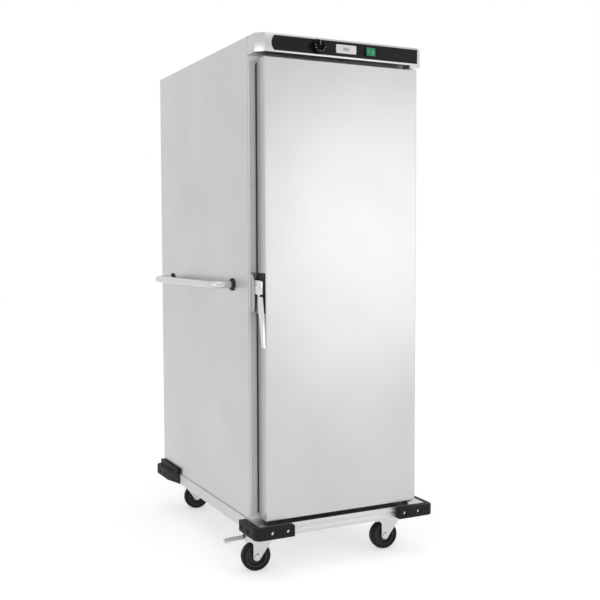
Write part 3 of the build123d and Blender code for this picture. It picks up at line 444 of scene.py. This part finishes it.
def head_tree():
    tree = bpy.data.node_groups.new("heads_on_points", "GeometryNodeTree")
    keys = {"Places": add_socket(tree, "Places", "NodeSocketGeometry"),
            "Radius": add_socket(tree, "Radius", "NodeSocketFloat", 0.003),
            "Height": add_socket(tree, "Height", "NodeSocketFloat", 0.001),
            "Sides": add_socket(tree, "Sides", "NodeSocketInt", 24),
            "Domed": add_socket(tree, "Domed", "NodeSocketBool", False),
            "Facing": add_socket(tree, "Facing", "NodeSocketVector"),
            "Finish": add_socket(tree, "Finish", "NodeSocketMaterial")}
    tree.interface.new_socket(name="Heads", in_out="OUTPUT", socket_type="NodeSocketGeometry")
    link = tree.links.new
    given = tree.nodes.new("NodeGroupInput")
    disc = tree.nodes.new("GeometryNodeMeshCylinder")
    link(given.outputs["Sides"], disc.inputs["Vertices"])
    link(given.outputs["Radius"], disc.inputs["Radius"])
    link(given.outputs["Height"], disc.inputs["Depth"])
    ball = tree.nodes.new("GeometryNodeMeshUVSphere")
    ball.inputs["Segments"].default_value = BALL_SEGMENTS
    ball.inputs["Rings"].default_value = BALL_RINGS
    ball.inputs["Radius"].default_value = 1.0
    scale = tree.nodes.new("ShaderNodeCombineXYZ")
    link(given.outputs["Radius"], scale.inputs[0])
    link(given.outputs["Radius"], scale.inputs[1])
    link(given.outputs["Height"], scale.inputs[2])
    squash = tree.nodes.new("GeometryNodeTransform")
    link(ball.outputs["Mesh"], squash.inputs["Geometry"])
    link(scale.outputs[0], squash.inputs["Scale"])
    pick = tree.nodes.new("GeometryNodeSwitch")
    pick.input_type = "GEOMETRY"
    link(given.outputs["Domed"], pick.inputs["Switch"])
    link(disc.outputs["Mesh"], pick.inputs["False"])
    link(squash.outputs["Geometry"], pick.inputs["True"])
    spread = tree.nodes.new("GeometryNodeInstanceOnPoints")
    link(given.outputs["Places"], spread.inputs["Points"])
    link(pick.outputs[0], spread.inputs["Instance"])
    link(given.outputs["Facing"], spread.inputs["Rotation"])
    real = tree.nodes.new("GeometryNodeRealizeInstances")
    link(spread.outputs["Instances"], real.inputs["Geometry"])
    dress = tree.nodes.new("GeometryNodeSetMaterial")
    link(real.outputs["Geometry"], dress.inputs["Geometry"])
    link(given.outputs["Finish"], dress.inputs["Material"])
    out = tree.nodes.new("NodeGroupOutput")
    link(dress.outputs["Geometry"], out.inputs[0])
    return tree, keys


HEADS, HEAD_KEYS = head_tree()
print("heads tree inputs", len(HEAD_KEYS))
FACING = {"up": (0.0, 0.0, 0.0), "front": (math.pi / 2, 0.0, 0.0), "side": (0.0, math.pi / 2, 0.0)}


def heads(name, body, places_mm, radius, height, facing, finish_name, sides=24, domed=False):
    """Places are in millimetres; radius and height too."""
    mesh = bpy.data.meshes.new(name)
    mesh.from_pydata([Vector(p) * MM for p in places_mm], [], [])
    piece = bpy.data.objects.new(name, mesh)
    bpy.context.scene.collection.objects.link(piece)
    maker = piece.modifiers.new("heads", "NODES")
    maker.node_group = HEADS
    maker[HEAD_KEYS["Radius"]] = radius * MM
    maker[HEAD_KEYS["Height"]] = height * MM
    maker[HEAD_KEYS["Sides"]] = sides
    maker[HEAD_KEYS["Domed"]] = domed
    maker[HEAD_KEYS["Facing"]] = FACING[facing]
    maker[HEAD_KEYS["Finish"]] = finishes[finish_name]
    bpy.context.view_layer.update()
    graph = bpy.context.evaluated_depsgraph_get()
    done = bpy.data.meshes.new_from_object(piece.evaluated_get(graph))
    piece.modifiers.clear()
    piece.data = done
    done.name = name
    for face in done.polygons:
        face.use_smooth = True
    done.set_sharp_from_angle(angle=SHARP_ANGLE)
    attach(piece, body)
    return piece


def limits(name):
    """A node's box in millimetres."""
    spots = [v.co for v in nodes[name].data.vertices]
    low = [min(v[k] for v in spots) / MM for k in range(3)]
    high = [max(v[k] for v in spots) / MM for k in range(3)]
    return low, high


# %% [markdown]
# The thermostat knob is read by seven pale dots on an arc and one grey line. Both are printed on the real
# knob's own face. They could be painted by a shader, but thin raised marks stay crisp from close by and are
# part of the mesh. They ride on the knob, so they turn with it.

# %% Knob marks
DOT_COUNT = 7
DOT_RING_MM = 18.0
DOT_RADIUS, DOT_HEIGHT = 1.15, 0.5
FIRST_DOT_DEG, DOT_SWEEP_DEG = 180, 165
knob_low, knob_high = limits("thermostat_knob")
knob_x = (knob_low[0] + knob_high[0]) / 2
knob_z = (knob_low[2] + knob_high[2]) / 2
knob_face = knob_low[1]
dots = []
for n in range(DOT_COUNT):
    turn = math.radians(FIRST_DOT_DEG + n * DOT_SWEEP_DEG / (DOT_COUNT - 1))
    dots.append((knob_x + DOT_RING_MM * math.cos(turn), knob_face, knob_z + DOT_RING_MM * math.sin(turn)))
heads("knob_dots", "knob", dots, DOT_RADIUS, DOT_HEIGHT, "front", "pale_mark", sides=16)


def plain_block(name, body, boxes_mm, finish_name):
    """One mesh of separate boxes, each given as its low and high corner in millimetres."""
    made = bmesh.new()
    for low, high in boxes_mm:
        middle = [(a + b) / 2 * MM for a, b in zip(low, high)]
        size = [(b - a) * MM for a, b in zip(low, high)]
        cube = bmesh.ops.create_cube(made, size=1.0)
        bmesh.ops.scale(made, vec=size, verts=cube["verts"])
        bmesh.ops.translate(made, vec=middle, verts=cube["verts"])
    mesh = bpy.data.meshes.new(name)
    made.to_mesh(mesh)
    made.free()
    mesh.materials.append(finishes[finish_name])
    piece = bpy.data.objects.new(name, mesh)
    bpy.context.scene.collection.objects.link(piece)
    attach(piece, body)
    return piece


plain_block("knob_line", "knob", [((knob_x - 1.0, knob_face - 0.25, knob_z + 2.0),
                                   (knob_x + 1.0, knob_face + 0.1, knob_z + DOT_RING_MM))], "dial_line")
print("knob dots", len(dots))

# %% [markdown]
# The temperature display has a pane in its window and shows two figures. A text object could write them, but
# such a display draws each figure with seven straight bars, so the bars themselves are placed. The rocker has
# its usual line and ring. Its face is hollow and tilted, so a ray finds the face's depth under each small box.

# %% Display
BARS = {"top": (0, 2, 1), "mid": (0, 1, 1), "low": (0, 0, 1), "left_up": (0, 1, 2), "left_low": (0, 0, 2),
        "right_up": (1, 1, 2), "right_low": (1, 0, 2)}
SHOWN = {"6": ("top", "mid", "low", "left_up", "left_low", "right_low"),
         "5": ("top", "mid", "low", "left_up", "right_low")}
FIGURE_W, FIGURE_H, BAR = 4.0, 3.6, 0.7
FIGURE_RISE = 0.3
PANE_HALF_X, PANE_HALF_Z = 13.9, 4.9
PANE_DEEP, PANE_BACK = 0.9, 1.3
screen_low, screen_high = limits("temperature_display")
screen_x = (screen_low[0] + screen_high[0]) / 2
screen_z = (screen_low[2] + screen_high[2]) / 2
screen_y = screen_low[1]


def figure_boxes(figure, x, z, y):
    boxes = []
    for bar in SHOWN[figure]:
        col, row, along = BARS[bar]
        bx = x + col * FIGURE_W
        bz = z + row * FIGURE_H
        if along == 1:
            boxes.append(((bx, y - FIGURE_RISE, bz - BAR / 2), (bx + FIGURE_W, y, bz + BAR / 2)))
        else:
            boxes.append(((bx - BAR / 2, y - FIGURE_RISE, bz), (bx + BAR / 2, y, bz + FIGURE_H)))
    return boxes


pane_front = screen_y + PANE_DEEP
pane = ((screen_x - PANE_HALF_X, pane_front, screen_z - PANE_HALF_Z),
        (screen_x + PANE_HALF_X, screen_y + PANE_BACK, screen_z + PANE_HALF_Z))
plain_block("display_pane", "cabinet", [pane], "screen_glass")
figures = figure_boxes("6", screen_x - 6.5, screen_z - FIGURE_H, pane_front)
figures += figure_boxes("5", screen_x + 1.5, screen_z - FIGURE_H, pane_front)
plain_block("display_figures", "cabinet", figures, "screen_figure")
print("figure bars", len(figures))

# %% Rocker marks
MARK_OFF_CENTRE = 9.0
LINE_HIGH = 8.0
RING_RADIUS, RING_STEPS = 3.4, 20
rocker_low, rocker_high = limits("switch_rocker")
rocker_x = (rocker_low[0] + rocker_high[0]) / 2
rocker_z = (rocker_low[2] + rocker_high[2]) / 2
rocker_mesh = nodes["switch_rocker"].data
rocker_skin = BVHTree.FromPolygons([v.co for v in rocker_mesh.vertices],
                                   [f.vertices[:] for f in rocker_mesh.polygons])


def on_rocker(x, z, half_x, half_z):
    """A small box half sunk in the rocker's sloping face."""
    y = rocker_skin.ray_cast(Vector((x * MM, -2.0, z * MM)), Vector((0, 1, 0)))[0].y / MM
    return (x - half_x, y - 0.12, z - half_z), (x + half_x, y + 0.4, z + half_z)


marks = [on_rocker(rocker_x - MARK_OFF_CENTRE, rocker_z, 0.5, LINE_HIGH / 2)]
for n in range(RING_STEPS):
    turn = 2 * math.pi * n / RING_STEPS
    marks.append(on_rocker(rocker_x + MARK_OFF_CENTRE + RING_RADIUS * math.cos(turn),
                           rocker_z + RING_RADIUS * math.sin(turn), 0.55, 0.55))
plain_block("rocker_marks", body_of["switch_rocker"], marks, "lit_mark")
print("rocker mark boxes", len(marks))

# %% [markdown]
# The latch shows three small screws in its strike and one rivet in its lever. They could be part of the
# solids, but such small heads belong to the dressing. Domed heads from the tree above sit on the faces that the
# solids' own boxes give, so they follow when the latch moves.

# %% Latch screws and rivet
plate_low, plate_high = limits("strike")
lever_low, lever_high = limits("latch_lever")
strike_side = plate_low[0]
heads("strike_screws", "cabinet", [(strike_side, plate_low[1] + 16, plate_low[2] + 9),
                                   (strike_side, plate_low[1] + 16, plate_low[2] + 20),
                                   (strike_side, plate_low[1] + 22, plate_high[2] - 12)],
      2.6, 0.9, "side", "screw_steel", domed=True)
lever_x = (lever_low[0] + lever_high[0]) / 2
heads("lever_rivet", "lever", [(lever_x, lever_high[1] - 48.6, lever_high[2] - 53.0)], 2.6, 1.2, "front",
      "screw_dark", domed=True)

print("latch heads placed")

# %% [markdown]
# Each handle flange is held by two screws, the back sheet by a row of rivets round its edge, and each caster
# plate by four bolts from below. They repeat at a pitch, so loops work out the places, and the tree makes the
# heads.

# %% Screws, rivets and bolts
FLANGE_IN, FLANGE_SCREW_OFF = 21.5, 16.5
flange_low, flange_high = limits("handle_flanges")
flange_screws = []
for side in (flange_low[0], flange_high[0]):
    for y in (flange_low[1] + FLANGE_IN, flange_high[1] - FLANGE_IN):
        for dz in (-FLANGE_SCREW_OFF, FLANGE_SCREW_OFF):
            flange_screws.append((side, y, (flange_low[2] + flange_high[2]) / 2 + dz))
heads("flange_screws", "cabinet", flange_screws, 2.4, 1.0, "side", "screw_dark", domed=True)

back_low, back_high = limits("back_panel")
RIVET_PITCH = 190.0
RIVET_IN_X, RIVET_IN_Z = 14, 12
rivets = []
for z in (back_low[2] + RIVET_IN_Z, back_high[2] - RIVET_IN_Z):
    count = int((back_high[0] - back_low[0]) // RIVET_PITCH) + 1
    run = back_high[0] - back_low[0] - 2 * RIVET_IN_X
    for n in range(count + 1):
        rivets.append((back_low[0] + RIVET_IN_X + n * run / count, back_high[1], z))
for x in (back_low[0] + RIVET_IN_X, back_high[0] - RIVET_IN_X):
    count = int((back_high[2] - back_low[2]) // RIVET_PITCH)
    run = back_high[2] - back_low[2] - 2 * RIVET_IN_Z
    for n in range(1, count):
        rivets.append((x, back_high[1], back_low[2] + RIVET_IN_Z + n * run / count))
heads("back_rivets", "cabinet", rivets, 3.2, 1.3, "front", "screw_steel", domed=True)

PLATE_MID_X, PLATE_MID_Y = 50, 42.5
BOLT_OFF_X, BOLT_OFF_Y = 40, 31
PLATE_THICK, BOLT_HEAD = 4.0, 5.0
caster_low, caster_high = limits("caster_plates")
bolts = []
for x in (caster_low[0] + PLATE_MID_X, caster_high[0] - PLATE_MID_X):
    for y in (caster_low[1] + PLATE_MID_Y, caster_high[1] - PLATE_MID_Y):
        for dx in (-BOLT_OFF_X, BOLT_OFF_X):
            for dy in (-BOLT_OFF_Y, BOLT_OFF_Y):
                bolts.append((x + dx, y + dy, caster_high[2] - PLATE_THICK - BOLT_HEAD / 2))
heads("caster_bolts", "cabinet", bolts, 6.5, BOLT_HEAD, "up", "screw_steel", sides=6)
print("flange screws", len(flange_screws), "rivets", len(rivets), "bolts", len(bolts))

# %% [markdown]
# The other nodes keep their own mesh and only change finish: their curves are fine enough, and smooth shading
# is already in their normals. The record names each node's finish, so one loop can give them all theirs.

# %% Finish every carried-over node
for name, piece in nodes.items():
    piece.data.materials.clear()
    piece.data.materials.append(finishes[slot_of[name]])
print("finished nodes", len(nodes))
